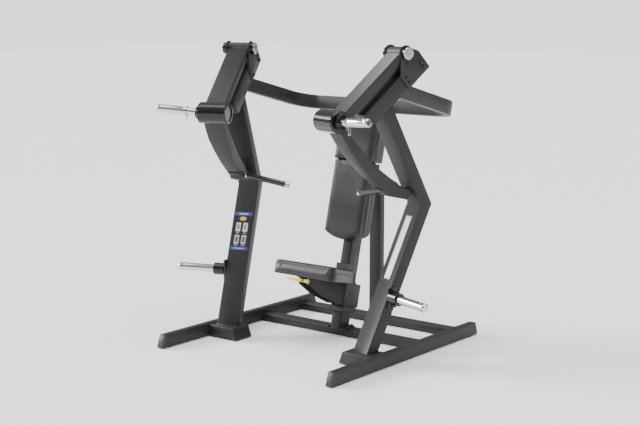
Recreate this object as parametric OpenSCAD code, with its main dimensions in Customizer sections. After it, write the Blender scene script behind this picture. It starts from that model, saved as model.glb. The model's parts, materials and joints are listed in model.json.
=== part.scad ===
// Plate-loaded seated chest press with two converging arms.
// Units are millimetres. The floor is Z = 0, the user faces -Y, and the side at +X is called right.
// The modules work from the line under the elbows of the masts, and placed() moves them to the origin.

/* [Base] */
// Half of the width over the two base rails
base_half = 672; // [620:2:760]
// Front end of the rails
rail_front = 768; // [740:2:900]
// Rear end of the rails
rail_rear = 725; // [700:2:860]
// Rail width
rail_w = 48; // [40:1:60]
// Rail height
rail_h = 84; // [70:1:100]
// How far each rail end leans back at the top
end_slant = 27; // [0:1:40]
// Height of the top of both crossbars
bar_h = 50; // [40:1:64]
// Depth of both crossbars
bar_d = 90; // [70:1:110]
// Centre of the front crossbar
bar_front = 200; // [150:5:240]
// Centre of the rear crossbar
bar_rear = 600; // [580:5:660]
// Wall of the frame tubes
wall = 3; // [2:0.5:5]
// Height of the rubber feet
foot_h = 6; // [3:1:12]

/* [Masts] */
// Distance from the middle to each mast plane, on that line
plane_x = 626; // [590:2:680]
// Toe-in of each mast plane and its arm
toe = 19.5; // [10:0.5:20]
// Mast tube width
mast_w = 140; // [120:2:160]
// Mast tube depth
mast_t = 70; // [60:1:84]
// Height of the elbow
elbow_z = 917; // [880:2:960]
// Backward lean of the lower mast
lower_lean = 24; // [20:0.2:27]
// Forward lean of the upper mast
upper_lean = 26.2; // [24:0.2:28]
// Height of the mast foot
stub_h = 72; // [60:1:80]

/* [Pivot] */
// Slope of the head tube and of the arm beam at rest
beam_slope = 41; // [40:0.5:44]
// Forward place of the arm pivot
pivot_v = 78; // [70:1:90]
// Height of the arm pivot
pivot_z = 1787; // [1760:1:1800]
// Pivot shaft diameter
shaft_d = 30; // [25:1:35]
// Diameter of the bearing housings and the pivot tube
housing_d = 72; // [60:1:80]
// Forward travel of the arms, in degrees
arm_travel = 48; // [30:1:50]

/* [Arms] */
// Arm beam width
beam_w = 125; // [110:1:130]
// Arm beam depth
beam_t = 56; // [46:1:62]
// Hub diameter
hub_d = 128; // [116:1:136]
// Weight sleeve diameter
sleeve_d = 50; // [28:1:50]
// Length of the bare weight sleeve
sleeve_len = 262; // [180:1:330]
// Upward tilt of the weight sleeve
sleeve_tilt = 3.9; // [0:0.1:6]
// Grip diameter
grip_d = 37; // [30:1:42]
// Length of the grip
grip_len = 262; // [180:1:280]
// Inward drop of the handle, in degrees
grip_drop = 10.5; // [0:0.5:14]

/* [Back and seat] */
// Recline of the spine and both back pads
recline = 14.2; // [12:0.2:16]
// Spine tube width
spine_w = 72; // [60:1:84]
// Spine tube depth
spine_t = 100; // [90:1:110]
// Back pad width
pad_w = 280; // [240:2:320]
// Back pad thickness
pad_t = 68; // [50:1:76]
// Seat width at the front
seat_w = 460; // [400:5:480]
// Seat width at the rear
seat_rear_w = 190; // [170:5:230]
// Seat cushion thickness
seat_t = 68; // [50:1:76]
// Seat height travel along the spine
seat_travel = 120; // [60:30:120]

/* [Hidden] */
$fn = 64;

// colours
powder = [0.07, 0.07, 0.075];
gloss = [0.03, 0.03, 0.035];
chrome = [0.8, 0.8, 0.82];
vinyl = [0.05, 0.05, 0.055];
rubber = [0.1, 0.1, 0.1];

// base details, then the side plane: x is along the pivot axis outwards, y is backwards, z is up
foot_z = foot_h + stub_h;
stub_front = -360;
stub_rear = -210;
stub_in = 398;
foot_inset = 80;
foot_margin = 10;
plug_gap = 0.2;
plug_len = 16;
elbow_v = -46;
foot_v = tan(lower_lean) * (elbow_z - foot_z) + elbow_v;
e1 = [cos(beam_slope), -sin(beam_slope)];
e2 = [sin(beam_slope), cos(beam_slope)];
// head tube: its lower rear corner, from which lengths along and across the beam are taken
head_across = 168;
head_along = 75;
head_t = 90;
head_end = 500;
head_slant = 22;
back_t = 12;
lip_t = 8;
lip_len = 46;
cheek_rise = 122;
head_o = [pivot_v, pivot_z] - head_along * e1 - head_across * e2;
// arm beam
beam_low = 135;
cheek_t = 8;
cheek_len = 188;
cheek_r = 46;
beam_gap = 0.6;
housing_len = 24;
cap_t = 6;
edge = 2.5;
fit = 0.05;
slide_gap = 0.3;
// hub, horn and lower arm
hub_along = 647;
hub_across = 178.6;
hub_c = head_o + hub_along * e1 + hub_across * e2;
hub_in = -108;
hub_out = 77;
hub_recess = 6;
hub_edge = 5;
hub_lip = 14;
hub_wall = 8;
horn_collar_d = 80;
horn_collar_t = 26;
handle_v = 112;
handle_z = 1002;
arm_front_r = 1100;
arm_front_c = [-449, 1910];
arm_rear_r = 1190;
arm_rear_c = [-494, 2082];
arm_narrow_z = handle_z + 20;
arm_wide_z = 1250;
arm_low = 900;
arm_wall = 5;
arm_end = [40, 982];
arm_end_r = 31;
arm_end_w = 76;
spigot_d = 40;
clip_place = 90;
clip_wall = 3.4;
clip_len = 9;
clip_loop = 7;
clip_leg = 36;
clip_wire = 1.6;
sleeve_edge = 5;
bumper_gap = 0.4;
bumper_d = 48;
handle_bar_d = 25;
grip_start = 20;
// storage pegs
peg_z = 397;
peg_v = 158;
peg_plate_t = 10;
peg_plate_w = 60;
peg_plate_h = 122;
peg_bolt = 49;
peg_collar_d = 76;
peg_collar_len = 70;
peg_len = 250;
// bow tube
bow_half = 600;
bow_t = 50;
bow_h = 86;
bow_slope = 14;
bow_bend = 175;
bow_front_y = 540;
bow_top_z = 1468;
bow_lead = 200;
// column
column_w = 84;
column_t = 52;
column_front = 538;
column_top = 960;
link_w = 56;
link_h = 60;
link_drop = 12;
plate_t = 8;
plate_hw = spine_w / 2 + 30;
plate_front = 110;
frame_af = 16;
head_h = 8;
// spine
spine_y = 104.6;
spine_wall = 4;
spine_drop = 6;
// thin plates with artwork
art_t = 1.5;
// pads
board_t = 14;
pad_low = 612;
pad_arc = 46;
pad_split = 1112;
pad_high = 1395;
pad_gap = 1;
upper_grow = 8;
upper_swell = 4;
upper_shell = 38;
lower_shell = 28;
board_in = 4;
pad_corner = 26;
// seat, measured along the spine
carriage_low = 200;
carriage_high = 430;
collar_h = 38;
bush_t = 3;
carriage_wall = 8;
bush_h = 34;
stop_h = 32;
stop_out = 18;
seat_top = 430;
seat_front = -414;
seat_back = -14;
seat_in = 10;
seat_corner = 30;
board_low = seat_top - seat_t - board_t;
channel_w = 84;
channel_wall = 5;
channel_end = -376;
rear_out = 34;
shoulder_y = 18;
lever_y = -389;
lever_z = 326;
lever_w = 8;
lever_h = 18;
lever_out = 118;
lever_pivot_x = 36;
pivot_d = 8;
pin_z = 326;
pin_d = 14;
rod_d = 8;
pin_shank = 60;

// ---------- helpers ----------
// a profile drawn as [forward, up], given a thickness along the pivot axis
module slab(x0, x1) {
    translate([x1, 0, 0])
        rotate([90, 0, -90])
            linear_extrude(height = x1 - x0)
                children();
}

// places children in the right side plane, or its mirror image when s is -1
module side(s) {
    mirror([s < 0 ? 1 : 0, 0, 0])
        translate([plane_x, 0, 0])
            rotate([0, 0, -toe])
                children();
}

// a frame along the head tube: children are drawn as [along, across]
module beam_profile() {
    translate(head_o)
        rotate([0, 0, -beam_slope])
            children();
}

// puts the origin on the floor under the middle of the rails' length
module placed() {
    translate([0, (rail_front - rail_rear) / 2, 0])
        children();
}

// a frame along the reclined spine: y is backwards, z runs up the spine
module on_spine() {
    translate([0, spine_y, 0])
        rotate([-recline, 0, 0])
            children();
}

// a box given by its two corners
module box(a, b) {
    translate(a)
        cube(b - a);
}

// a hexagon head with its washer, standing on z = 0
module hex_head(af, h) {
    cylinder(d = af * 1.25, h = 1.6);
    translate([0, 0, 1.6])
        cylinder(d = af / cos(30), h = h, $fn = 6);
}

// ---------- base ----------
module rail() {
    difference() {
        rotate([90, 0, 90])
            linear_extrude(height = rail_w)
                polygon([
                    [-rail_front, foot_h], [rail_rear, foot_h],
                    [rail_rear - end_slant, rail_h], [-rail_front + end_slant, rail_h]
                ]);
        box([wall, -rail_front - 1, foot_h + wall], [rail_w - wall, rail_rear + 1, rail_h - wall]);
    }
}

module base_rail(s) {
    color(powder)
        mirror([s < 0 ? 1 : 0, 0, 0])
            translate([base_half - rail_w, 0, 0])
                rail();
}

module crossbar(y) {
    color(powder)
        difference() {
            box([rail_w - base_half, y - bar_d / 2, foot_h], [base_half - rail_w, y + bar_d / 2, bar_h]);
            box([-base_half, y - bar_d / 2 + wall, foot_h + wall],
                [base_half, y + bar_d / 2 - wall, bar_h - wall]);
        }
}

module rail_feet() {
    color(rubber)
        for (s = [-1, 1])
            for (y = [foot_inset - rail_front, 0, rail_rear - foot_inset])
                translate([s * (base_half - rail_w / 2), y, 0])
                    cylinder(d = rail_w - foot_margin, h = foot_h);
}

// thin plugs that close the slanted rail ends
module rail_end_caps() {
    color(rubber)
        for (s = [-1, 1])
            for (e = [-1, 1])
                translate([s * (base_half - rail_w / 2), 0, 0])
                    rotate([90, 0, 90])
                        linear_extrude(height = rail_w - 2 * wall - 2 * plug_gap, center = true)
                            polygon(end_cap(e, plug_gap));
}

function end_y(e, z) =
    let (k = (z - foot_h) / (rail_h - foot_h) * end_slant)
    e > 0 ? rail_rear - k : -rail_front + k;

function end_cap(e, g) =
    let (z0 = foot_h + wall + g, z1 = rail_h - wall - g)
    [
        [end_y(e, z0) - e, z0], [end_y(e, z1) - e, z1],
        [end_y(e, z1) - e * plug_len, z1], [end_y(e, z0) - e * plug_len, z0]
    ];

module stub_outline(t) {
    x1 = base_half - rail_w - t;
    polygon([
        [stub_in + 2 * t, foot_h + t], [x1, foot_h + t], [x1, foot_z - t], [stub_in + end_slant + t, foot_z - t]
    ]);
}

// short box under each mast, welded to the inside of the rail
module mast_foot(s) {
    color(powder)
        mirror([s < 0 ? 1 : 0, 0, 0])
            translate([0, stub_rear, 0])
                rotate([90, 0, 0])
                    difference() {
                        linear_extrude(height = stub_rear - stub_front)
                            stub_outline(0);
                        translate([0, 0, wall])
                            linear_extrude(height = stub_rear - stub_front - 2 * wall)
                                stub_outline(wall);
                    }
}

// ---------- masts ----------
function lower_rear(z) =
    elbow_v + tan(lower_lean) * (elbow_z - z) - mast_t / cos(lower_lean);
function upper_rear(z) =
    elbow_v + tan(upper_lean) * (z - elbow_z) - mast_t / cos(upper_lean);
// height at which the two rear faces meet
elbow_rear_z = elbow_z
    + (mast_t / cos(upper_lean) - mast_t / cos(lower_lean)) / (tan(upper_lean) + tan(lower_lean));
// a point far up the upper mast, cut off by the head tube
mast_run = 700;

module mast_outline(t) {
    difference() {
        polygon([
            [foot_v - t / cos(lower_lean), foot_z],
            [elbow_v - t / cos(lower_lean), elbow_z],
            [elbow_v + tan(upper_lean) * mast_run - t / cos(upper_lean), elbow_z + mast_run],
            [upper_rear(elbow_z + mast_run) + t / cos(upper_lean), elbow_z + mast_run],
            [upper_rear(elbow_rear_z) + t / cos(upper_lean), elbow_rear_z],
            [lower_rear(foot_z) + t / cos(lower_lean), foot_z]
        ]);
        beam_profile()
            translate([-200, 0])
                square([1200, 600]);
    }
}

module mast(s) {
    color(powder)
        side(s)
            difference() {
                slab(-mast_w / 2, mast_w / 2)
                    mast_outline(0);
                slab(-mast_w / 2 + wall, mast_w / 2 - wall)
                    mast_outline(wall);
            }
}

module head_outline(t) {
    beam_profile()
        polygon([
            [back_t + t, t], [head_end - head_slant - t, t],
            [head_end - t, head_t - t], [back_t + t, head_t - t]
        ]);
}

module head_tube(s) {
    color(powder)
        side(s)
            difference() {
                slab(-mast_w / 2, mast_w / 2)
                    head_outline(0);
                slab(-mast_w / 2 + wall, mast_w / 2 - wall)
                    head_outline(wall);
            }
}

// ---------- pivot ----------
module cheek() {
    difference() {
        union() {
            beam_profile()
                polygon([
                    [0, 0], [cheek_len, 0], [cheek_len, head_t],
                    [head_along + cheek_r, head_across], [head_along - cheek_r, head_across], [0, cheek_rise]
                ]);
            translate([pivot_v, pivot_z])
                circle(r = cheek_r);
        }
        translate([pivot_v, pivot_z])
            circle(d = shaft_d);
    }
}

module pivot_bracket(s) {
    color(powder)
        side(s) {
            slab(mast_w / 2, mast_w / 2 + cheek_t)
                cheek();
            slab(-mast_w / 2 - cheek_t, -mast_w / 2)
                cheek();
            slab(-mast_w / 2, mast_w / 2)
                beam_profile()
                    polygon([
                        [0, 0], [back_t, 0], [back_t, head_t], [lip_len, head_t],
                        [lip_len, head_t + lip_t], [0, head_t + lip_t]
                    ]);
        }
}

module on_pivot() {
    translate([0, -pivot_v, pivot_z])
        rotate([0, 90, 0])
            children();
}

module bearing_housings(s) {
    z0 = mast_w / 2 + cheek_t;
    color(gloss)
        side(s)
            on_pivot()
                for (m = [0, 1])
                    mirror([0, 0, m])
                        rotate_extrude()
                            polygon([
                                [shaft_d / 2, z0], [housing_d / 2, z0],
                                [housing_d / 2, z0 + housing_len - edge],
                                [housing_d / 2 - edge, z0 + housing_len], [shaft_d / 2, z0 + housing_len]
                            ]);
}

module pivot_shaft(s) {
    z0 = mast_w / 2 + cheek_t + housing_len;
    cap_r = housing_d / 2 - edge;
    color(chrome)
        side(s)
            on_pivot()
                rotate_extrude()
                    polygon([
                        [0, -z0 - cap_t], [cap_r - edge, -z0 - cap_t], [cap_r, -z0 - cap_t + edge],
                        [cap_r, -z0], [shaft_d / 2, -z0], [shaft_d / 2, z0], [cap_r, z0],
                        [cap_r, z0 + cap_t - edge], [cap_r - edge, z0 + cap_t], [0, z0 + cap_t]
                    ]);
}

// ---------- stops ----------
// direction that points out of the upper mast's front face
stop_n = [cos(upper_lean), -sin(upper_lean)];
function face_gap(p) =
    (p[0] - elbow_v) * cos(upper_lean) - (p[1] - elbow_z) * sin(upper_lean);

module bumper(s) {
    gap = face_gap(arm_end);
    foot = arm_end - gap * stop_n;
    color(rubber)
        side(s)
            translate([0, -foot[0], foot[1]])
                rotate([90 + upper_lean, 0, 0])
                    cylinder(d = bumper_d, h = gap - arm_end_r - bumper_gap);
}

// ---------- storage pegs ----------
module peg_mount(s) {
    x0 = mast_w / 2;
    color(gloss)
        side(s)
            translate([0, -peg_v, peg_z]) {
                difference() {
                    box([x0, -peg_plate_w / 2, -peg_plate_h / 2],
                        [x0 + peg_plate_t, peg_plate_w / 2, peg_plate_h / 2]);
                    translate([x0 - 1, 0, 0])
                        rotate([0, 90, 0])
                            cylinder(d = spigot_d, h = peg_plate_t + 2);
                }
                translate([x0 + peg_plate_t, 0, 0])
                    rotate([0, 90, 0])
                        difference() {
                            cylinder(d = peg_collar_d, h = peg_collar_len);
                            translate([0, 0, -1])
                                cylinder(d = spigot_d, h = peg_collar_len + 2);
                        }
            }
}

// spigot from z = 0, then a bare sleeve with a chamfered end
module sleeve(hidden, bare) {
    r = sleeve_d / 2;
    run = hidden + bare;
    rotate_extrude()
        polygon([
            [0, 0], [spigot_d / 2, 0], [spigot_d / 2, hidden], [r, hidden],
            [r, run - sleeve_edge], [r - sleeve_edge, run], [0, run]
        ]);
}

module storage_peg(s) {
    color(chrome)
        side(s)
            translate([mast_w / 2, -peg_v, peg_z])
                rotate([0, 90, 0])
                    sleeve(peg_plate_t + peg_collar_len, peg_len);
}

// ---------- bow, column and spine ----------
// half of the bow's centre line is a leg, a bend and half of the cross part
module bow_ring(r_out, r_in) {
    intersection() {
        difference() {
            circle(r = r_out, $fn = 96);
            circle(r = r_in, $fn = 96);
        }
        square([r_out + 1, r_out + 1]);
    }
}

module bow_plan(inset) {
    x1 = bow_half + bow_t / 2;
    yb = bow_front_y + bow_t;
    for (m = [0, 1])
        mirror([m, 0]) {
            translate([x1 - bow_bend, yb - bow_bend])
                bow_ring(bow_bend - inset, bow_bend - bow_t + inset);
            translate([x1 - bow_t + inset, -bow_lead])
                square([bow_t - 2 * inset, yb - bow_bend + bow_lead]);
            translate([-1, yb - bow_t + inset])
                square([x1 - bow_bend + 1, bow_t - 2 * inset]);
        }
}

module bow_tube() {
    color(powder)
        difference() {
            translate([0, bow_front_y, bow_top_z])
                rotate([-bow_slope, 0, 0])
                    translate([0, -bow_front_y, -bow_h])
                        difference() {
                            linear_extrude(height = bow_h)
                                bow_plan(0);
                            translate([0, 0, wall])
                                linear_extrude(height = bow_h - 2 * wall)
                                    bow_plan(wall);
                        }
            // cut the leg ends flush with the rear faces of the brackets, head tubes and masts
            for (s = [-1, 1])
                side(s) {
                    slab(-400, 400)
                        beam_profile()
                            translate([-400, 0])
                                square([1400, 900]);
                    slab(-400, 400)
                        polygon([
                            [upper_rear(1100), 1100], [900, 1100], [900, 1900], [upper_rear(1900), 1900]
                        ]);
                }
        }
}

module rear_column() {
    z0 = bar_h + plate_t;
    color(powder)
        difference() {
            box([-column_w / 2, column_front, z0],
                [column_w / 2, column_front + column_t, column_top]);
            box([-column_w / 2 + wall, column_front + wall, z0 - 1],
                [column_w / 2 - wall, column_front + column_t - wall, column_top - wall]);
        }
}

// level tube from the spine's rear face to the column
module column_link() {
    color(powder)
        difference() {
            box([-link_w / 2, 300, column_top - link_drop - link_h],
                [link_w / 2, column_front, column_top - link_drop]);
            on_spine()
                box([-200, -400, 0], [200, spine_t, 1800]);
        }
}

module spine() {
    color(powder)
        difference() {
            on_spine()
                difference() {
                    box([-spine_w / 2, 0, -100], [spine_w / 2, spine_t, 1700]);
                    box([-spine_w / 2 + spine_wall, spine_wall, -101],
                        [spine_w / 2 - spine_wall, spine_t - spine_wall, 1701]);
                }
            box([-200, -400, -400], [200, 500, bar_h + plate_t]);
            translate([0, bow_front_y, bow_top_z])
                rotate([-bow_slope, 0, 0])
                    box([-200, 0, -300], [200, 400, 400]);
            translate([0, bow_front_y, bow_top_z])
                rotate([-bow_slope, 0, 0])
                    box([-200, -400, -spine_drop], [200, 400, 500]);
        }
}

module foot_plates() {
    color(powder) {
        box([-plate_hw, plate_front, bar_h], [plate_hw, bar_front + bar_d / 2, bar_h + plate_t]);
        box([-plate_hw, column_front, bar_h], [plate_hw, bar_rear + bar_d / 2, bar_h + plate_t]);
    }
}

// rubber collar on which the seat carriage rests
module seat_stop() {
    z0 = carriage_low - stop_h;
    color(rubber)
        on_spine()
            difference() {
                box([-spine_w / 2 - stop_out, -stop_out, z0],
                    [spine_w / 2 + stop_out, spine_t + stop_out, carriage_low - bumper_gap]);
                box([-spine_w / 2, 0, z0 - 1], [spine_w / 2, spine_t, carriage_low]);
            }
}

// ---------- fasteners of the frame ----------
bracket_bolts = [[31, 27], [31, 59], [161, 24], [161, 60]];

module frame_bolts() {
    color(gloss) {
        for (s = [-1, 1]) {
            side(s) {
                for (p = bracket_bolts)
                    for (m = [0, 1])
                        mirror([m, 0, 0])
                            translate([mast_w / 2 + cheek_t, 0, 0])
                                bolt_place(head_o + p[0] * e1 + p[1] * e2)
                                    hex_head(frame_af, head_h);
                for (dz = [-peg_bolt, peg_bolt])
                    translate([mast_w / 2 + peg_plate_t, 0, 0])
                        bolt_place([peg_v, peg_z + dz])
                            hex_head(frame_af, head_h);
            }
            for (y = [plate_front + frame_af, bar_front + bar_d / 2 - frame_af, bar_rear + bar_d / 4])
                translate([s * (plate_hw - 0.9 * frame_af), y, bar_h + plate_t])
                    hex_head(frame_af, head_h);
        }
    }
}

module bolt_place(p) {
    translate([0, -p[0], p[1]])
        rotate([0, 90, 0])
            children();
}

// ---------- back pads ----------
// an outline drawn as [across, up the spine], given a thickness forwards from the spine's face
module pad_block(t) {
    rotate([90, 0, 0])
        linear_extrude(height = t)
            children();
}

// outline of the lower pad: square at the seam, its lower edge a wide arc
module lower_outline(inset) {
    hw = pad_w / 2 - inset;
    low = pad_low + inset;
    r = (hw * hw + pad_arc * pad_arc) / (2 * pad_arc);
    translate([-hw, low + pad_arc])
        square([2 * hw, pad_split - inset - low - pad_arc]);
    intersection() {
        translate([-hw, low])
            square([2 * hw, pad_arc + 1]);
        translate([0, low + r])
            circle(r = r);
    }
}

// outline of the upper pad: square at the seam, rounded at the top
module upper_outline(inset) {
    hw = pad_w / 2 + upper_grow - inset;
    low = pad_split + pad_gap + inset;
    high = pad_high - inset;
    translate([-hw, low])
        square([2 * hw, high - pad_corner - low]);
    translate([-hw + pad_corner, low])
        square([2 * hw - 2 * pad_corner, high - low]);
    for (x = [-hw + pad_corner, hw - pad_corner])
        translate([x, high - pad_corner])
            circle(r = pad_corner);
}

module upper_back_pad() {
    color(vinyl)
        on_spine()
            translate([0, -board_t, 0])
                pad_block(pad_t + upper_swell)
                    upper_outline(0);
}

module lower_back_pad() {
    color(vinyl)
        on_spine()
            translate([0, -board_t, 0])
                pad_block(pad_t)
                    lower_outline(0);
}

// moulded shells behind the pads, each wrapped round the spine
module back_pad_boards() {
    color(gloss)
        on_spine()
            difference() {
                union() {
                    translate([0, lower_shell, 0])
                        pad_block(board_t + lower_shell)
                            lower_outline(board_in);
                    translate([0, upper_shell, 0])
                        pad_block(board_t + upper_shell)
                            upper_outline(board_in);
                }
                box([-spine_w / 2, 0, 0], [spine_w / 2, spine_t, pad_high]);
            }
}

// ---------- plates with artwork ----------
// a thin plate on the front face of a lower mast, between two heights
module mast_plate(s, z0, z1, hw, t) {
    k = cos(lower_lean);
    side(s)
        translate([0, -elbow_v, elbow_z])
            rotate([-lower_lean, 0, 0])
                mirror([0, 1, 0])
                    box([-hw, 0, -(elbow_z - z0) / k], [hw, t, -(elbow_z - z1) / k]);
}

module instruction_placard() {
    color([0.1, 0.15, 0.4])
        mast_plate(-1, 520, 748, 58, art_t);
}

module name_plate() {
    color([0.75, 0.75, 0.76])
        mast_plate(1, 490, 848, 28, art_t);
}

// ---------- arms ----------
module hub_circle(grow) {
    translate(hub_c)
        circle(d = hub_d + 2 * grow);
}

module arm_beam(s) {
    hx = mast_w / 2 - beam_gap;
    color(powder)
        side(s) {
            difference() {
                union() {
                    slab(-beam_w / 2, beam_w / 2)
                        difference() {
                            beam_profile()
                                translate([head_along, beam_low])
                                    square([hub_along - head_along, beam_t]);
                            hub_circle(0);
                        }
                    slab(-hx, hx)
                        translate([pivot_v, pivot_z])
                            circle(d = housing_d);
                }
                slab(-hx - 1, hx + 1)
                    translate([pivot_v, pivot_z])
                        circle(d = shaft_d + 2 * fit);
                slab(-beam_w / 2 + wall, beam_w / 2 - wall)
                    beam_profile()
                        translate([head_along + housing_d / 2, beam_low + wall])
                            square([
                                hub_along - hub_d / 2 - wall - head_along - housing_d / 2,
                                beam_t - 2 * wall
                            ]);
            }
        }
}

module hub(s) {
    r = hub_d / 2;
    lip = r - hub_lip;
    color(gloss)
        side(s)
            translate([0, -hub_c[0], hub_c[1]])
                rotate([0, 90, 0])
                    difference() {
                        rotate_extrude()
                            polygon([
                                [0, hub_in + hub_recess], [lip, hub_in + hub_recess], [lip, hub_in],
                                [r - hub_edge, hub_in], [r, hub_in + hub_edge], [r, hub_out - hub_edge],
                                [r - hub_edge, hub_out], [lip, hub_out], [lip, hub_out - hub_recess],
                                [0, hub_out - hub_recess]
                            ]);
                        translate([0, 0, hub_in + hub_recess + hub_wall])
                            cylinder(r = r - hub_wall, h = hub_out - hub_in - 2 * hub_recess - 2 * hub_wall);
                    }
}

// side outline of the curved lower arm: two arcs between the hub and the end piece
module lower_arm_outline(t) {
    intersection() {
        difference() {
            translate(arm_front_c)
                circle(r = arm_front_r - t, $fn = 128);
            translate(arm_rear_c)
                circle(r = arm_rear_r + t, $fn = 128);
            hub_circle(t);
        }
        polygon([[95, 1048], [150, 950], [900, 1100], [900, 1420], [hub_c[0], hub_c[1]], [300, 1420]]);
    }
}

// front view of the lower arm: it narrows towards its lower end
module lower_arm_front(t) {
    top = hub_c[1] + hub_d;
    w = beam_w / 2 - t;
    e = arm_end_w / 2 - t;
    translate([0, 100, 0])
        rotate([90, 0, 0])
            linear_extrude(height = 900)
                polygon([
                    [-e, arm_low], [e, arm_low], [e, arm_narrow_z], [w, arm_wide_z], [w, top],
                    [-w, top], [-w, arm_wide_z], [-e, arm_narrow_z]
                ]);
}

module lower_arm(s) {
    color(powder)
        side(s) {
            difference() {
                intersection() {
                    slab(-beam_w / 2, beam_w / 2)
                        lower_arm_outline(0);
                    lower_arm_front(0);
                }
                intersection() {
                    slab(-beam_w / 2, beam_w / 2)
                        lower_arm_outline(arm_wall);
                    lower_arm_front(arm_wall);
                }
            }
            slab(-arm_end_w / 2, arm_end_w / 2)
                difference() {
                    union() {
                        polygon([
                            [arm_end[0], arm_end[1] + arm_end_r], [100, 1046], [205, 1019], [172, 1004],
                            [159, 978], [arm_end[0], arm_end[1] - arm_end_r]
                        ]);
                        translate(arm_end)
                            circle(r = arm_end_r);
                    }
                    lower_arm_outline(0);
                }
        }
}

// frame along the handle bar: z runs inwards from the arm's inner face
module on_handle() {
    translate([-arm_end_w / 2, -handle_v, handle_z])
        rotate([0, -90 - grip_drop, 0])
            children();
}

module handle(s) {
    r = handle_bar_d / 2;
    rr = grip_d / 2 + 0.5;
    bar_end = grip_start + grip_len;
    color(chrome)
        side(s)
            difference() {
                on_handle()
                    rotate_extrude()
                        polygon([
                            [0, -8], [r, -8], [r, 8], [rr, 8], [rr, grip_start], [r, grip_start],
                            [r, bar_end], [rr, bar_end], [rr, bar_end + 7], [rr - 3, bar_end + 8],
                            [rr - 3, bar_end + 12], [rr - 1, bar_end + 13], [rr - 1, bar_end + 21],
                            [rr - 5, bar_end + 25], [0, bar_end + 25]
                        ]);
                slab(-arm_end_w / 2, arm_end_w)
                    translate([handle_v - 60, handle_z - 60])
                        square(120);
            }
}

module grip(s) {
    color(rubber)
        side(s)
            on_handle()
                translate([0, 0, grip_start])
                    difference() {
                        cylinder(d = grip_d, h = grip_len);
                        translate([0, 0, -1])
                            cylinder(d = handle_bar_d, h = grip_len + 2);
                    }
}

// frame along the weight horn: z runs outwards from the hub's recess
module on_horn() {
    translate([hub_out - hub_recess, -hub_c[0], hub_c[1]])
        rotate([0, 90 - sleeve_tilt, 0])
            children();
}

module past_hub() {
    difference() {
        children();
        box([-400, -1200, 800], [hub_out - hub_recess, 400, 2000]);
    }
}

module weight_horn(s) {
    color(chrome)
        side(s)
            past_hub()
                on_horn()
                    translate([0, 0, -hub_recess])
                        sleeve(hub_recess + horn_collar_t, sleeve_len);
}

module horn_collar(s) {
    r = horn_collar_d / 2;
    color(gloss)
        side(s)
            past_hub()
                on_horn()
                    difference() {
                        rotate_extrude()
                            polygon([
                                [0, -hub_recess], [r, -hub_recess], [r, horn_collar_t - edge],
                                [r - edge, horn_collar_t], [0, horn_collar_t]
                            ]);
                        translate([0, 0, -2 * hub_recess])
                            cylinder(d = spigot_d, h = horn_collar_t + 4 * hub_recess);
                    }
}

// ring on the horn with a hanging wire loop
module spring_clip(s) {
    ri = sleeve_d / 2 + slide_gap;
    color(chrome)
        side(s)
            on_horn()
                translate([0, 0, clip_place]) {
                    difference() {
                        cylinder(r = ri + clip_wall, h = clip_len);
                        translate([0, 0, -1])
                            cylinder(r = ri, h = clip_len + 2);
                    }
                    // the wire hangs from the ring as a long loop
                    translate([ri + clip_wall / 2, 0, clip_len / 2]) {
                        for (y = [-clip_loop, clip_loop])
                            translate([0, y, 0])
                                rotate([0, 90, 0])
                                    cylinder(r = clip_wire, h = clip_leg);
                        translate([clip_leg, 0, 0])
                            rotate([0, 0, -90])
                                rotate_extrude(angle = 180)
                                    translate([clip_loop, 0])
                                        circle(r = clip_wire);
                    }
                }
}

// ---------- seat ----------
bush_out = slide_gap + bush_t;
sleeve_out = bush_out + carriage_wall;

// a length of square ring round the spine, from gap a out to gap b
module spine_ring(a, b, z0, z1) {
    difference() {
        box([-spine_w / 2 - b, -b, z0], [spine_w / 2 + b, spine_t + b, z1]);
        box([-spine_w / 2 - a, -a, z0 - 1], [spine_w / 2 + a, spine_t + a, z1 + 1]);
    }
}

// side outline of the cantilever under the seat: its lower edge rises to the front
module cantilever_outline() {
    polygon([
        [-sleeve_out + 1, carriage_low + 8], [-78, carriage_low + 11], [-249, carriage_low + 52],
        [channel_end, carriage_low + 106], [channel_end, board_low - channel_wall],
        [lever_y - lever_w - channel_wall, board_low - channel_wall],
        [lever_y - lever_w - channel_wall, board_low], [-sleeve_out + 1, board_low]
    ]);
}

// hollow housing across the rear of the sleeve, open below
module rear_housing() {
    hw = spine_w / 2 + sleeve_out;
    y0 = spine_t + sleeve_out;
    difference() {
        box([-hw, y0 - 1, carriage_low], [hw, y0 + rear_out, board_low]);
        box([-hw + channel_wall, y0, carriage_low - 1],
            [hw - channel_wall, y0 + rear_out - channel_wall, board_low - channel_wall]);
    }
}

module seat_carriage() {
    color(powder)
        on_spine()
            difference() {
                union() {
                    box([-spine_w / 2 - sleeve_out, -sleeve_out, carriage_low],
                        [spine_w / 2 + sleeve_out, spine_t + sleeve_out, carriage_high]);
                    rotate([90, 0, 90])
                        linear_extrude(height = channel_w, center = true)
                            cantilever_outline();
                    rear_housing();
                }
                // above the seat board the sleeve falls away to the rear
                rotate([90, 0, 90])
                    linear_extrude(height = 200, center = true)
                        polygon([
                            [shoulder_y, carriage_high + 1], [shoulder_y, carriage_high],
                            [spine_t, board_low], [spine_t + 200, board_low],
                            [spine_t + 200, carriage_high + 1]
                        ]);
                box([-spine_w / 2 - bush_out, -bush_out, 0],
                    [spine_w / 2 + bush_out, spine_t + bush_out, carriage_high + 1]);
                // the cantilever is a channel, open below
                box([-channel_w / 2 + channel_wall, channel_end - 1, carriage_low],
                    [channel_w / 2 - channel_wall, -sleeve_out, board_low - channel_wall]);
                translate([0, -sleeve_out - 1, pin_z])
                    rotate([-90, 0, 0])
                        cylinder(d = pin_d + 2 * fit, h = sleeve_out);
            }
}

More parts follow.
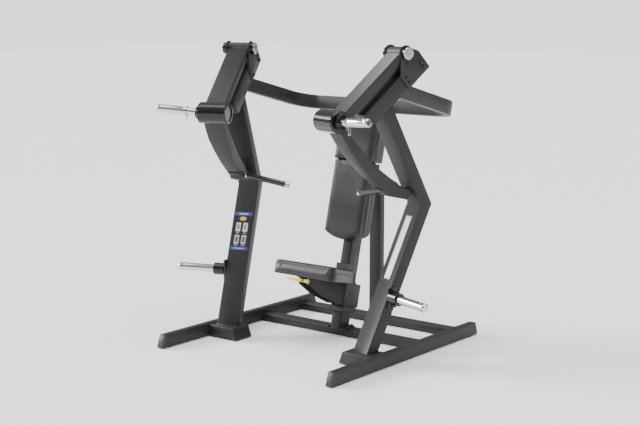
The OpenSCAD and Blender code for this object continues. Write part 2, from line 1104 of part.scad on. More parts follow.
// plastic sliders inside the steel sleeve, and a half collar on top of its front
module carriage_bushes() {
    top = pin_z - pin_d;
    color(rubber)
        on_spine() {
            spine_ring(slide_gap, bush_out, carriage_low, carriage_low + bush_h);
            spine_ring(slide_gap, bush_out, top - bush_h, top);
            intersection() {
                spine_ring(slide_gap, sleeve_out + bush_t, carriage_high, carriage_high + collar_h);
                box([-200, -100, carriage_high], [200, shoulder_y, carriage_high + collar_h]);
            }
        }
}

module seat_plan(grow) {
    r = seat_corner;
    f = seat_w / 2 + grow;
    b = seat_rear_w / 2 + grow;
    y0 = seat_front - grow;
    y1 = seat_back + grow;
    polygon([[-f + r, y0], [f - r, y0], [f, y0 + r], [b, y1], [-b, y1], [-f, y0 + r]]);
    for (x = [-f + r, f - r])
        translate([x, y0 + r])
            circle(r = r);
}

module seat_board() {
    color(gloss)
        on_spine()
            translate([0, 0, board_low])
                linear_extrude(height = board_t)
                    seat_plan(-seat_in);
}

// the cushion's cover is drawn down round the edge of the board
module seat_cushion() {
    color(vinyl)
        on_spine()
            difference() {
                translate([0, 0, board_low])
                    linear_extrude(height = board_t + seat_t)
                        seat_plan(0);
                translate([0, 0, board_low - 1])
                    linear_extrude(height = board_t + 1)
                        seat_plan(-seat_in);
            }
}

// the flange of the lock pin stands in front of the lever, and its rod passes through a slot
flange_r = 8;
flange_t = 3.2;
rod_gap = 0.8;
lever_swing = 18;
slot_in = lever_pivot_x / cos(lever_swing) + lever_w / 2 * tan(lever_swing)
    + (rod_d / 2 + rod_gap) / cos(lever_swing);

module seat_lever() {
    color([0.85, 0.75, 0.05])
        on_spine()
            translate([lever_pivot_x, lever_y, lever_z])
                difference() {
                    union() {
                        box([-lever_pivot_x - lever_out, -lever_w / 2, -lever_h / 2],
                            [0, lever_w / 2, lever_h / 2]);
                        translate([0, 0, -lever_h / 2])
                            cylinder(d = pivot_d + 14, h = lever_h);
                    }
                    translate([0, 0, -lever_h])
                        cylinder(d = pivot_d + 2 * fit, h = 2 * lever_h);
                    box([-slot_in, -lever_w, -rod_d / 2 - rod_gap],
                        [-lever_pivot_x + rod_d / 2 + rod_gap, lever_w, rod_d / 2 + rod_gap]);
                }
}

// stud under the cantilever's top plate, with a head below the lever
module lever_pivot() {
    head = 6;
    low = lever_z - lever_h / 2 - 1 - head;
    color(chrome)
        on_spine()
            translate([lever_pivot_x, lever_y, low]) {
                cylinder(d = pivot_d, h = board_low - channel_wall - low);
                cylinder(d = 2 * pivot_d, h = head);
            }
}

// a clamp pin: its nose bears on the front face of the spine, and the lever draws it forward
module lock_pin() {
    flange = lever_w / 2 - lever_y;
    color(chrome)
        on_spine()
            translate([0, -slide_gap, pin_z])
                rotate([90, 0, 0])
                    rotate_extrude()
                        polygon([
                            [0, 0], [pin_d / 2, 0], [pin_d / 2, pin_shank], [rod_d / 2, pin_shank],
                            [rod_d / 2, flange], [flange_r, flange], [flange_r, flange + flange_t],
                            [0, flange + flange_t]
                        ]);
}

placed() base_rail(-1);  // left_base_rail
placed() base_rail(1);  // right_base_rail
placed() crossbar(bar_front);  // front_crossbar
placed() crossbar(bar_rear);  // rear_crossbar
placed() rail_feet();
placed() rail_end_caps();
placed() mast_foot(-1);  // left_mast_foot
placed() mast_foot(1);  // right_mast_foot
placed() mast(-1);  // left_mast
placed() mast(1);  // right_mast
placed() head_tube(-1);  // left_head_tube
placed() head_tube(1);  // right_head_tube
placed() pivot_bracket(-1);  // left_pivot_bracket
placed() pivot_bracket(1);  // right_pivot_bracket
placed() bearing_housings(-1);  // left_bearing_housings
placed() bearing_housings(1);  // right_bearing_housings
placed() pivot_shaft(-1);  // left_pivot_shaft
placed() pivot_shaft(1);  // right_pivot_shaft
placed() bumper(-1);  // left_bumper
placed() bumper(1);  // right_bumper
placed() peg_mount(-1);  // left_peg_mount
placed() peg_mount(1);  // right_peg_mount
placed() storage_peg(-1);  // left_storage_peg
placed() storage_peg(1);  // right_storage_peg
placed() bow_tube();
placed() rear_column();
placed() column_link();
placed() spine();
placed() foot_plates();
placed() seat_stop();
placed() frame_bolts();
placed() upper_back_pad();
placed() lower_back_pad();
placed() back_pad_boards();
placed() instruction_placard();
placed() name_plate();
placed() arm_beam(-1);  // left_arm_beam
placed() arm_beam(1);  // right_arm_beam
placed() hub(-1);  // left_hub
placed() hub(1);  // right_hub
placed() lower_arm(-1);  // left_lower_arm
placed() lower_arm(1);  // right_lower_arm
placed() handle(-1);  // left_handle
placed() handle(1);  // right_handle
placed() grip(-1);  // left_grip
placed() grip(1);  // right_grip
placed() weight_horn(-1);  // left_weight_horn
placed() weight_horn(1);  // right_weight_horn
placed() horn_collar(-1);  // left_horn_collar
placed() horn_collar(1);  // right_horn_collar
placed() spring_clip(-1);  // left_spring_clip
placed() spring_clip(1);  // right_spring_clip
placed() seat_carriage();
placed() carriage_bushes();
placed() seat_board();
placed() seat_cushion();
placed() seat_lever();
placed() lever_pivot();
placed() lock_pin();
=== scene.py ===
import json
import math

import bmesh
import bpy
from mathutils import Matrix, Vector


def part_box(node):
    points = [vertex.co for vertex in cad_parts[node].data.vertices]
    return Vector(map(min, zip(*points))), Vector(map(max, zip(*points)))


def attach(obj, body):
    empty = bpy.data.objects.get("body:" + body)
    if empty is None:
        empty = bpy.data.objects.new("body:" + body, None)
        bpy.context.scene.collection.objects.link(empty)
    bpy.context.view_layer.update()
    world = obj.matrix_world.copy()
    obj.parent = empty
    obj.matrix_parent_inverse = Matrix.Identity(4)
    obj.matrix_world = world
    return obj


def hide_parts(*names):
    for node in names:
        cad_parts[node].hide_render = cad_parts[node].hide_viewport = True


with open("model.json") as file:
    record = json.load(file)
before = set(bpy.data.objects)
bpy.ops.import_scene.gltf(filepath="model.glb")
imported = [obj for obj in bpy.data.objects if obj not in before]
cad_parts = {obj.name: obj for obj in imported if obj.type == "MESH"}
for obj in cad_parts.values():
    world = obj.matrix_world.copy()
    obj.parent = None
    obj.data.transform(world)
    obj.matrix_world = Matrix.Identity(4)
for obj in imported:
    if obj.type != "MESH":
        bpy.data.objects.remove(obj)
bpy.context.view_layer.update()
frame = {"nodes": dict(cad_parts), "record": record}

# ---------- floor, light and camera ----------
# A pale studio: a floor that runs off into a surround of the same tone, a wide soft light low at
# the left, a weaker one overhead, and two tall panels that draw highlights down the round parts.
bpy.ops.mesh.primitive_plane_add(size=80, location=(0, 0, 0))
floor = bpy.context.active_object
floor.name = "studio_floor"
floor_paint = bpy.data.materials.new("pale_floor")
floor_paint.use_nodes = True
floor_shader = floor_paint.node_tree.nodes["Principled BSDF"]
floor_shader.inputs["Base Color"].default_value = (0.93, 0.93, 0.93, 1)
floor_shader.inputs["Roughness"].default_value = 0.75
floor_shader.inputs["Specular IOR Level"].default_value = 0.1
floor.data.materials.append(floor_paint)

# the surround looks pale behind the machine; what it throws on it is dim at the sides, for dark
# edges in the chrome, and brighter above
surround = bpy.data.worlds.new("pale_surround")
surround.use_nodes = True
tree = surround.node_tree


def surround_light(strength):
    """A grey light over the whole surround."""
    made = tree.nodes.new("ShaderNodeBackground")
    made.inputs["Color"].default_value = (1, 1, 1, 1)
    made.inputs["Strength"].default_value = strength
    return made.outputs[0]


def surround_mix(factor, first, second):
    """One surround where factor is 0, the other where it is 1."""
    made = tree.nodes.new("ShaderNodeMixShader")
    for socket, given in zip(made.inputs, (factor, first, second)):
        tree.links.new(given, socket)
    return made.outputs[0]


height = tree.nodes.new("ShaderNodeSeparateXYZ")
tree.links.new(tree.nodes.new("ShaderNodeTexCoord").outputs["Generated"], height.inputs[0])
thrown = surround_mix(height.outputs["Z"], surround_light(0.10), surround_light(0.8))
seen = tree.nodes.new("ShaderNodeLightPath").outputs["Is Camera Ray"]
whole = surround_mix(seen, thrown, surround_light(1.75))
tree.links.new(whole, tree.nodes["World Output"].inputs["Surface"])
bpy.context.scene.world = surround

for name, towards, strength, spread in (
    ("left_soft_light", (-0.86, -0.34, 0.40), 5.0, 26),
    ("overhead_soft_light", (0.10, -0.10, 1.0), 3.0, 60),
):
    lamp = bpy.data.lights.new(name, "SUN")
    lamp.energy = strength
    lamp.angle = math.radians(spread)
    light = bpy.data.objects.new(name, lamp)
    light.rotation_euler = (-Vector(towards)).to_track_quat("-Z", "Y").to_euler()
    bpy.context.scene.collection.objects.link(light)

middle = Vector((0, 0, 1.0))
for name, place, size, watts in (
    ("left_panel", (-4.6, -3.4, 3.6), (0.5, 3.6), 30),
    ("right_panel", (5.2, -0.6, 2.6), (0.5, 3.2), 25),
):
    lamp = bpy.data.lights.new(name, "AREA")
    lamp.shape = "RECTANGLE"
    lamp.size, lamp.size_y = size
    lamp.energy = watts
    light = bpy.data.objects.new(name, lamp)
    light.location = place
    light.rotation_euler = (middle - light.location).to_track_quat("-Z", "Y").to_euler()
    bpy.context.scene.collection.objects.link(light)

camera_data = bpy.data.cameras.new("camera")
camera_data.lens = 73.5
camera_data.sensor_width = 36
camera = bpy.data.objects.new("camera", camera_data)
camera.location = (4.874, -6.1485, 2.080)
camera.rotation_euler = (math.radians(80.78), 0, math.radians(38.43))
bpy.context.scene.collection.objects.link(camera)
bpy.context.scene.camera = camera


# ---------- powder-coated frame ----------
# Welded steel tube, powder coated satin black: two rails, two crossbars, two bent masts with
# their head tubes, the bow behind the back, the column, the spine and the seat's carriage.
class Value:
    """A number that changes over a surface, so that shader maths reads as a sum."""

    def __init__(self, finish, socket):
        self.finish = finish
        self.socket = socket

    def maths(self, operation, first, second):
        return self.finish.value("ShaderNodeMath", {"operation": operation}, {0: first, 1: second})

    def __add__(self, other):
        return self.maths("ADD", self, other)

    def __radd__(self, other):
        return self.maths("ADD", other, self)

    def __sub__(self, other):
        return self.maths("SUBTRACT", self, other)

    def __rsub__(self, other):
        return self.maths("SUBTRACT", other, self)

    def __mul__(self, other):
        return self.maths("MULTIPLY", self, other)

    def __rmul__(self, other):
        return self.maths("MULTIPLY", other, self)

    def __gt__(self, other):
        return self.maths("GREATER_THAN", self, other)

    def __lt__(self, other):
        return self.maths("LESS_THAN", self, other)

    def __abs__(self):
        return self.maths("ABSOLUTE", self, 0)


class Finish:
    """One material: node() adds any node, value() adds one and wraps the number that it gives."""

    def __init__(self, name, colour, roughness, **constants):
        self.material = bpy.data.materials.new(name)
        self.material.use_nodes = True
        self.tree = self.material.node_tree
        self.shader = self.tree.nodes["Principled BSDF"]
        self.shader.inputs["Base Color"].default_value = (*colour, 1)
        self.shader.inputs["Roughness"].default_value = roughness
        for key, number in constants.items():
            label = key.replace("_", " ").title().replace("Ior", "IOR")
            self.shader.inputs[label].default_value = number
        self.place = self.tree.nodes.new("ShaderNodeTexCoord").outputs["Object"]

    def node(self, kind, settings=None, inputs=None):
        made = self.tree.nodes.new(kind)
        for key, setting in (settings or {}).items():
            setattr(made, key, setting)
        for key, given in (inputs or {}).items():
            self.feed(made.inputs[key], given)
        return made

    def value(self, kind, settings=None, inputs=None, out=0):
        return Value(self, self.node(kind, settings, inputs).outputs[out])

    def feed(self, socket, given):
        given = given.socket if isinstance(given, Value) else given
        if isinstance(given, bpy.types.NodeSocket):
            self.tree.links.new(given, socket)
        else:
            socket.default_value = given

    def noise(self, scale, detail=2.0, place=None):
        return self.value("ShaderNodeTexNoise", inputs={
            "Vector": place or self.place, "Scale": scale, "Detail": detail})

    def stretched(self, x, y, z):
        mapping = self.node("ShaderNodeMapping", inputs={"Vector": self.place, "Scale": (x, y, z)})
        return mapping.outputs["Vector"]

    def mixed(self, factor, first, second):
        ends = {"A": first, "B": second}
        made = self.node("ShaderNodeMix", {"data_type": "RGBA"}, {"Factor": factor})
        for socket in made.inputs:
            if socket.type == "RGBA":
                end = ends[socket.name]
                self.feed(socket, end if isinstance(end, bpy.types.NodeSocket) else (*end, 1))
        return next(s for s in made.outputs if s.type == "RGBA")

    def colour(self, given):
        self.feed(self.shader.inputs["Base Color"], given)

    def roughness(self, given):
        self.feed(self.shader.inputs["Roughness"], given)

    def relief(self, height, depth, under=None):
        bump = self.node("ShaderNodeBump", inputs={
            "Height": height, "Distance": depth, "Strength": 1.0})
        if under:
            self.feed(bump.inputs["Normal"], under)
        self.feed(self.shader.inputs["Normal"], bump.outputs["Normal"])
        return bump.outputs["Normal"]


def powder_coat(name):
    """A satin black powder coat, with the colour and the roughness that it was given."""
    coat = Finish(name, (0.022, 0.022, 0.024), 0.48, specular_ior_level=0.32)
    cloud = coat.noise(6, 3)
    grain = coat.noise(1100, 2)
    shade = coat.mixed(cloud, (0.017, 0.017, 0.018), (0.027, 0.027, 0.029))
    dullness = cloud * 0.10 + grain * 0.06 + 0.38
    coat.colour(shade)
    coat.roughness(dullness)
    coat.relief(grain + coat.noise(320, 1) * 0.6, 0.00018)
    return coat, shade, dullness


powder, _, _ = powder_coat("satin_black_powder")

nodes = frame["nodes"]
record = frame["record"]
body_of = {
    node: body for body, members in record["behaviour"]["bodies"].items() for node in members}
SIDES = ("left", "right")


def finished(piece, finish):
    """Gives a piece one material all over."""
    piece.data.materials.clear()
    piece.data.materials.append(finish.material)


def merged_copy(node, name):
    """A copy of a CAD piece with its loose triangles joined up, selected and active."""
    bpy.ops.object.select_all(action="DESELECT")
    piece = bpy.data.objects.new(name, nodes[node].data.copy())
    bpy.context.scene.collection.objects.link(piece)
    piece.select_set(True)
    bpy.context.view_layer.objects.active = piece
    bpy.ops.object.mode_set(mode="EDIT")
    bpy.ops.mesh.select_all(action="SELECT")
    bpy.ops.mesh.remove_doubles(threshold=0.00002)
    bpy.ops.object.mode_set(mode="OBJECT")
    return piece


def flat_faces():
    """Joins the triangles of each flat face of the active piece."""
    bpy.ops.object.mode_set(mode="EDIT")
    bpy.ops.mesh.select_all(action="SELECT")
    bpy.ops.mesh.dissolve_limited(angle_limit=math.radians(0.8))
    bpy.ops.object.mode_set(mode="OBJECT")


def stands_for(piece, node):
    """Gives a piece the place and the body of a CAD piece."""
    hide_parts(node)
    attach(piece, body_of[node])


def rounded_copy(node, radius, segments=3):
    """A copy of a CAD piece with its outer edges rounded, which then stands for it."""
    piece = merged_copy(node, node + "_body")
    flat_faces()
    shape = bmesh.new()
    shape.from_mesh(piece.data)
    weight = shape.edges.layers.float.new("bevel_weight_edge")
    for edge in shape.edges:
        wide = all(2 * f.calc_area() / f.calc_perimeter() > radius for f in edge.link_faces)
        sharp = len(edge.link_faces) == 2 and edge.calc_face_angle(0) > math.radians(30)
        edge[weight] = 1.0 if wide and sharp and edge.is_convex else 0.0
    shape.to_mesh(piece.data)
    shape.free()
    bevel = piece.modifiers.new("rounding", "BEVEL")
    bevel.limit_method = "WEIGHT"
    bevel.width = radius
    bevel.segments = segments
    bpy.ops.object.modifier_apply(modifier=bevel.name)
    bpy.ops.object.shade_smooth_by_angle(angle=math.radians(35))
    stands_for(piece, node)
    return piece


frame_tubes = [
    "front_crossbar", "rear_crossbar", "bow_tube", "rear_column", "column_link", "spine",
    *[side + part for side in SIDES
      for part in ("_base_rail", "_mast_foot", "_mast", "_head_tube")],
]
for tube in frame_tubes:
    finished(rounded_copy(tube, 0.005), powder)
for plate in ("foot_plates", "left_pivot_bracket", "right_pivot_bracket"):
    finished(rounded_copy(plate, 0.0015, 2), powder)

# ---------- weld beads ----------
# The tubes are welded all round where they stand on plates, feet and rails. Each bead follows
# the end edge of its tube, a little over 5 mm across, and is coated with the rest of the frame.
bead_radius = 0.0028
near_end = 0.0006


def weld_bead(name, node, at_joint):
    """A bead along the edges of a CAD piece whose ends both pass at_joint(point)."""
    bead = merged_copy(node, name)
    flat_faces()
    bpy.ops.object.mode_set(mode="EDIT")
    bpy.ops.mesh.select_all(action="DESELECT")
    shape = bmesh.from_edit_mesh(bead.data)
    for face in list(shape.faces):
        shape.faces.remove(face)
    for edge in list(shape.edges):
        first, second = (v.co for v in edge.verts)
        if not all(at_joint(point) for point in (first, second, (first + second) / 2)):
            shape.edges.remove(edge)
    for vert in [v for v in shape.verts if not v.link_edges]:
        shape.verts.remove(vert)
    bmesh.update_edit_mesh(bead.data)
    bpy.ops.object.mode_set(mode="OBJECT")
    bpy.ops.object.convert(target="CURVE")
    bead = bpy.context.active_object
    bead.data.bevel_depth = bead_radius
    bead.data.bevel_resolution = 1
    bpy.ops.object.convert(target="MESH")
    bead = bpy.context.active_object
    bead.name = name
    bpy.ops.object.shade_smooth()
    finished(bead, weld)
    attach(bead, body_of[node])


weld = Finish("coated_weld", (0.022, 0.022, 0.024), 0.45, specular_ior_level=0.35)
weld.relief(weld.noise(260, 1), 0.0012)


def lowest_end(node):
    """A test for the points at the low end of a piece."""
    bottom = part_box(node)[0][2]
    return lambda point: point.z < bottom + near_end


for tube in ("rear_column", "spine", "left_mast", "right_mast"):
    weld_bead(tube + "_weld", tube, lowest_end(tube))
for bar in ("front_crossbar", "rear_crossbar"):
    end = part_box(bar)[1][0]
    weld_bead(bar + "_weld", bar, lambda point: abs(point.x) > end - near_end)

# ---------- arms ----------
# Each arm is a box-section beam, a round hub and a curved lower arm of bent and welded plate,
# powder coated like the frame.
for side in SIDES:
    finished(rounded_copy(side + "_arm_beam", 0.005), powder)
    finished(rounded_copy(side + "_lower_arm", 0.006), powder)

# ---------- hubs, housings and collars ----------
# Turned steel pieces with a gloss black coat over the powder: the hubs, the bearing housings of
# the pivots, the collars behind the weight horns and the mounts of the storage pegs.
gloss = Finish("gloss_black_coat", (0.008, 0.008, 0.009), 0.16, specular_ior_level=0.45)
gloss.roughness(gloss.noise(14, 3) * 0.10 + 0.10)
gloss.relief(gloss.noise(90, 2), 0.00025)
for side in SIDES:
    for part in ("_hub", "_bearing_housings", "_horn_collar", "_peg_mount"):
        finished(nodes[side + part], gloss)

# ---------- weight horns and storage pegs ----------
# Chrome-plated steel bar, turned: a thinner root, a step, the sleeve that carries the plates, a
# groove near the end and a rounded nose with a flat face.
chrome = Finish("chrome_plate", (0.66, 0.66, 0.68), 0.10, metallic=1.0)
chrome.roughness(chrome.noise(30, 4) * 0.12 + 0.05)


def turned(name, stations, place, finish, segments=56):
    """A closed turned piece: stations are (distance, radius) along the z axis of place."""
    bpy.ops.object.select_all(action="DESELECT")
    start, radius = stations[0]
    bpy.ops.mesh.primitive_circle_add(vertices=segments, radius=radius, location=(0, 0, start))
    piece = bpy.context.active_object
    bpy.ops.object.transform_apply(location=True, rotation=True, scale=True)
    bpy.ops.object.mode_set(mode="EDIT")
    bpy.ops.mesh.select_all(action="SELECT")
    bpy.ops.mesh.edge_face_add()
    for distance, wide in stations[1:]:
        bpy.ops.mesh.extrude_region_move(
            TRANSFORM_OT_translate={"value": (0, 0, distance - start)})
        grow = wide / radius
        bpy.ops.transform.resize(value=(grow, grow, 1), center_override=(0, 0, distance))
        start, radius = distance, wide
    bpy.ops.mesh.select_all(action="SELECT")
    bpy.ops.mesh.normals_make_consistent(inside=False)
    bpy.ops.object.mode_set(mode="OBJECT")
    bpy.ops.object.shade_smooth_by_angle(angle=math.radians(28))
    piece.name = name
    piece.data.transform(place)
    finished(piece, finish)
    return piece


def along(node, axis):
    """The place of a turned CAD node, its low end with z along the axis, and its length."""
    axis = Vector(axis).normalized()
    points = [v.co for v in nodes[node].data.vertices]
    middle_point = sum(points, Vector()) / len(points)
    reach = [(p - middle_point).dot(axis) for p in points]
    low = middle_point + axis * min(reach)
    turn = axis.to_track_quat("Z", "Y").to_matrix().to_4x4()
    return Matrix.Translation(low) @ turn, max(reach) - min(reach)


mounts = {mount["name"]: mount for mount in record["mounts"]}
for side in SIDES:
    for part, root in (("_weight_horn", 0.108), ("_storage_peg", 0.034)):
        node = side + part
        place, length = along(node, mounts[node]["axis"])
        horn = turned(node + "_turned", [
            (0.0, 0.0225), (root - 0.003, 0.0225), (root - 0.003, 0.0250), (root, 0.0256),
            (root + 0.005, 0.0256), (root + 0.008, 0.0250), (length - 0.040, 0.0250),
            (length - 0.0385, 0.0232), (length - 0.0345, 0.0232), (length - 0.033, 0.0250),
            (length - 0.014, 0.0250), (length - 0.006, 0.0232), (length - 0.002, 0.0200),
            (length, 0.0165), (length, 0.0110), (length - 0.002, 0.0100), (length - 0.002, 0.0020),
        ], place, chrome)
        stands_for(horn, node)

# ---------- handles, shafts and clips ----------
# Chrome-plated handle bars, pivot shafts with flat caps, and sprung wire clips on the horns.
for side in SIDES:
    for part in ("_handle", "_pivot_shaft", "_spring_clip"):
        finished(nodes[side + part], chrome)
for part in ("lever_pivot", "lock_pin"):
    finished(nodes[part], chrome)

# ---------- bolts ----------
# Hexagon head bolts with washers, black oxide, hold the brackets and the peg mounts.
oxide = Finish("black_oxide_steel", (0.05, 0.05, 0.052), 0.36, metallic=0.8)
oxide.roughness(oxide.noise(300, 2) * 0.2 + 0.26)
finished(rounded_copy("frame_bolts", 0.0008, 2), oxide)

# ---------- rubber ----------
# Feet, arm bumpers and the seat's stop are moulded black rubber; the grips are a harder, shinier
# rubber pushed on to the handle bars.
rubber = Finish("black_rubber", (0.018, 0.018, 0.018), 0.62)
rubber.relief(rubber.noise(700, 2), 0.0002)
rubber.roughness(rubber.noise(60, 3) * 0.15 + 0.5)
for node in ("left_bumper", "right_bumper", "seat_stop"):
    finished(nodes[node], rubber)
finished(rounded_copy("rail_feet", 0.002, 2), rubber)
grip_rubber = Finish("shiny_grip_rubber", (0.010, 0.010, 0.010), 0.25, coat_weight=0.25)
grip_rubber.relief(grip_rubber.noise(500, 2), 0.00012)
grip_rubber.roughness(grip_rubber.noise(40, 3) * 0.14 + 0.18)
for side in SIDES:
    finished(nodes[side + "_grip"], grip_rubber)

# ---------- plastic ----------
# Moulded black plastic with a fine spark-eroded grain: the plugs in the rail ends, the sliders
# inside the carriage, the shells behind the back pads and the board under the seat.
plastic = Finish("black_plastic", (0.022, 0.022, 0.023), 0.45)
plastic.relief(plastic.noise(900, 1), 0.00012)
plastic.roughness(plastic.noise(20, 3) * 0.12 + 0.38)
for node in ("rail_end_caps", "seat_board"):
    finished(rounded_copy(node, 0.0015, 2), plastic)
finished(nodes["carriage_bushes"], plastic)
finished(rounded_copy("back_pad_boards", 0.003, 3), plastic)

# ---------- seat carriage ----------
# A welded sleeve that slides on the spine, with a channel that reaches forward under the seat.
# A screw on each side holds the sliders, and a darker, glossier strip runs down the rear of the
# spine's right face.
finished(rounded_copy("seat_carriage", 0.004), powder)
spine_y = 0.1261
lean = math.radians(14.2)
spine_foot = Matrix.Translation((0, spine_y, 0)) @ Matrix.Rotation(-lean, 4, "X")
for side, sign in (("left", -1), ("right", 1)):
    outward = Matrix.Rotation(math.radians(90 * sign), 4, "Y")
    screw = turned(side + "_slider_screw", [
        (-0.002, 0.009), (0.0012, 0.009), (0.0028, 0.0075), (0.0028, 0.0042), (0.0008, 0.0040),
        (0.0008, 0.0005),
    ], spine_foot @ Matrix.Translation((0.0473 * sign, 0.046, 0.288)) @ outward, oxide, 32)
    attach(screw, "seat")

# the spine's coat is darker and glossier in a strip near the rear of its right face
marked, shade, dullness = powder_coat("powder_with_dark_strip")
parts = marked.node("ShaderNodeSeparateXYZ", inputs={"Vector": marked.place})
across, back, up = (Value(marked, parts.outputs[axis]) for axis in "XYZ")
behind = (back - spine_y) * math.cos(lean) - up * math.sin(lean)
along_spine = (back - spine_y) * math.sin(lean) + up * math.cos(lean)
right_face = 0.0352
strip_middle, strip_half_width = 0.066, 0.012
strip_height, strip_half_length = 0.472, 0.058
strip = (across > right_face) * (abs(behind - strip_middle) < strip_half_width)
strip = strip * (abs(along_spine - strip_height) < strip_half_length)
marked.colour(marked.mixed(strip, shade, (0.006, 0.006, 0.007)))
marked.roughness(dullness - strip * 0.22)
finished(bpy.data.objects["spine_body"], marked)

# ---------- cushions ----------
# Foam on a board under black vinyl: two back pads that meet at a seam, and the seat. The cover is
# drawn tight, so the faces are only a little crowned and the edges are soft.
vinyl = Finish("black_vinyl", (0.020, 0.020, 0.021), 0.42, specular_ior_level=0.4)
vinyl_grain = vinyl.value("ShaderNodeTexVoronoi", {"feature": "DISTANCE_TO_EDGE"}, {
    "Vector": vinyl.place, "Scale": 620})
vinyl_cloud = vinyl.noise(9, 3)
vinyl.colour(vinyl.mixed(vinyl_cloud, (0.016, 0.016, 0.017), (0.027, 0.027, 0.028)))
vinyl.roughness(vinyl_cloud * 0.14 + 0.34)
vinyl_skin = vinyl.relief(vinyl_grain, 0.00025)
vinyl.relief(vinyl.noise(16, 4), 0.0016, vinyl_skin)


def spine_place(point):
    """Across, forwards from the spine's face, and up the spine."""
    local = spine_foot.inverted() @ point
    return local.x, -local.y, local.z


cloth_frames = 20


def cushion(node, held, cap, soften):
    """A cover over a CAD block: evenly meshed, softened at the edges, and blown up a little."""
    piece = merged_copy(node, node + "_cover")
    piece.data.remesh_voxel_size = 0.006
    bpy.ops.object.voxel_remesh()
    smooth = piece.modifiers.new("soft_edges", "SMOOTH")
    smooth.factor = 0.5
    smooth.iterations = soften
    bpy.ops.object.modifier_apply(modifier=smooth.name)
    start = [v.co.copy() for v in piece.data.vertices]
    grip = piece.vertex_groups.new(name="held")
    grip.add([v.index for v in piece.data.vertices if held(v.co)], 1.0, "REPLACE")
    cloth = piece.modifiers.new("air", "CLOTH")
    cloth.settings.quality = 4
    cloth.settings.mass = 0.3
    cloth.settings.tension_stiffness = 40
    cloth.settings.compression_stiffness = 40
    cloth.settings.use_pressure = True
    cloth.settings.uniform_pressure_force = 4
    cloth.settings.vertex_group_mass = "held"
    cloth.settings.effector_weights.gravity = 0
    cloth.point_cache.frame_end = cloth_frames
    for moment in range(1, cloth_frames + 1):
        bpy.context.scene.frame_set(moment)
    bpy.ops.object.modifier_apply(modifier=cloth.name)
    for vert, was in zip(piece.data.vertices, start):
        move = vert.co - was
        if move.length > cap:
            vert.co = was + move * (cap / move.length)
    settled = piece.modifiers.new("settled", "SMOOTH")
    settled.iterations = 5
    bpy.ops.object.modifier_apply(modifier=settled.name)
    finer = piece.modifiers.new("finer", "SUBSURF")
    finer.levels = finer.render_levels = 1
    bpy.ops.object.modifier_apply(modifier=finer.name)
    bpy.ops.object.shade_smooth()
    finished(piece, vinyl)
    stands_for(piece, node)
    return piece


def sewn(piece, distance, depth, width):
    """Draws the cover in along a seam, where distance(point) is nought."""
    for vert, normal in [(v, v.normal.copy()) for v in piece.data.vertices]:
        off = abs(distance(vert.co))
        if off < width:
            vert.co -= normal * depth * (1 - off / width) ** 2


rise = 0.004
pad_back = 0.016
for node in ("lower_back_pad", "upper_back_pad"):
    cushion(node, lambda point: spine_place(point)[1] < pad_back, rise, 1)
seat_held = 0.368
seat = cushion("seat_cushion", lambda point: spine_place(point)[2] < seat_held, rise, 3)


def past_corner(point):
    """How far across the seat a point lies from the seam down a front corner."""
    across, forwards, _ = spine_place(point)
    return abs(across) - 0.222 if forwards > 0.36 else 1.0


sewn(seat, past_corner, 0.0025, 0.007)

# ---------- seat lever ----------
# A flat steel lever dipped in yellow, which draws the lock pin off the spine.
yellow = Finish("yellow_lever", (0.83, 0.68, 0.03), 0.35)
yellow.roughness(yellow.noise(40, 3) * 0.16 + 0.26)
yellow.relief(yellow.noise(160, 2), 0.0003)
finished(rounded_copy("seat_lever", 0.002, 3), yellow)

# ---------- plates on the masts ----------
# Thin plates stuck to the lower masts: at the left a dark placard with blue bands and plain
# shapes, at the right a blank pale plate with a dark border.
def flat_plate(node):
    """A copy of a thin CAD plate whose UV runs 0 to 1 across it and up it."""
    piece = merged_copy(node, node + "_face")
    points = [v.co for v in piece.data.vertices]
    faces = sorted(piece.data.polygons, key=lambda face: -face.area)
    out = faces[0].normal
    side_way = Vector((0, 0, 1)).cross(out).normalized()
    side_way = side_way if side_way.x > 0 else -side_way
    up_way = out.cross(side_way).normalized()
    up_way = up_way if up_way.z > 0 else -up_way
    spans = []
    for way in (side_way, up_way):
        reach = [p.dot(way) for p in points]
        spans.append((min(reach), max(reach) - min(reach)))
    layer = piece.data.uv_layers.new(name="face_map")
    for loop in piece.data.loops:
        point = points[loop.vertex_index]
        layer.data[loop.index].uv = [
            (point.dot(way) - low) / span for way, (low, span) in zip((side_way, up_way), spans)]
    stands_for(piece, node)
    return piece


def plate_ways(finish):
    """How far across and how far up a plate a point lies, 0 to 1."""
    parts = finish.node("ShaderNodeSeparateXYZ", inputs={
        "Vector": finish.node("ShaderNodeUVMap", {"uv_map": "face_map"}).outputs["UV"]})
    return Value(finish, parts.outputs["X"]), Value(finish, parts.outputs["Y"])


def block(across, up, x, y, half_x, half_y):
    """1 inside a rectangle, 0 outside."""
    return (abs(across - x) < half_x) * (abs(up - y) < half_y)


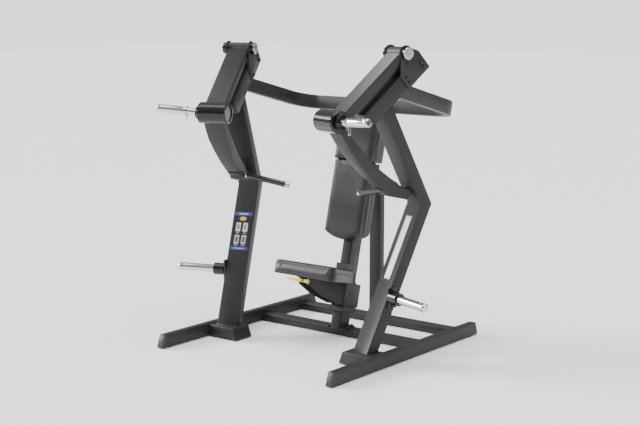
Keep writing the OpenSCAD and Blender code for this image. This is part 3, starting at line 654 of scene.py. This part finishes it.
def oval(across, up, x, y, half_x, half_y):
    """1 inside an ellipse, 0 outside."""
    a = (across - x) * (1 / half_x)
    b = (up - y) * (1 / half_y)
    return (a * a + b * b) < 1


art = Finish("printed_placard", (0.02, 0.02, 0.03), 0.3)
across, up = plate_ways(art)
BLUE, PALE, YELLOW = (0.055, 0.065, 0.26), (0.62, 0.62, 0.60), (0.62, 0.52, 0.05)
layers = [
    (up > 0.90, BLUE), (up < 0.085, BLUE),
    (block(across, up, 0.5, 0.95, 0.26, 0.016), (0.45, 0.42, 0.72)),
    (block(across, up, 0.48, 0.045, 0.30, 0.010), (0.40, 0.40, 0.62)),
    (oval(across, up, 0.50, 0.825, 0.20, 0.05), YELLOW),
]
for x in (0.29, 0.70):
    layers += [
        (block(across, up, x, 0.60, 0.135, 0.115), PALE),
        (oval(across, up, x, 0.61, 0.075, 0.07), (0.18, 0.18, 0.19)),
        (block(across, up, x, 0.445, 0.08, 0.010), (0.5, 0.5, 0.5)),
        (block(across, up, x, 0.275, 0.135, 0.115), (0.45, 0.45, 0.44)),
        (block(across, up, x, 0.275, 0.085, 0.065), (0.10, 0.10, 0.11)),
        (block(across, up, x, 0.125, 0.10, 0.008), (0.5, 0.5, 0.5)),
    ]
printed = (0.018, 0.018, 0.026)
for inside, paint in layers:
    printed = art.mixed(inside, printed, paint)
art.colour(printed)
art.roughness(art.noise(30, 3) * 0.12 + 0.24)
finished(flat_plate("instruction_placard"), art)

silver = Finish("pale_name_plate", (0.62, 0.63, 0.64), 0.42)
across, up = plate_ways(silver)
border = 1 - block(across, up, 0.5, 0.5, 0.44, 0.485)
inner = block(across, up, 0.5, 0.5, 0.36, 0.465) - block(across, up, 0.5, 0.5, 0.335, 0.460)
brushed = silver.noise(60, 3, silver.stretched(1, 1, 14))
silver_face = silver.mixed(brushed, (0.52, 0.53, 0.54), (0.70, 0.71, 0.72))
silver_face = silver.mixed(inner, silver_face, (0.12, 0.12, 0.13))
silver.colour(silver.mixed(border, silver_face, (0.03, 0.03, 0.032)))
silver.roughness(brushed * 0.2 + 0.28)
finished(flat_plate("name_plate"), silver)
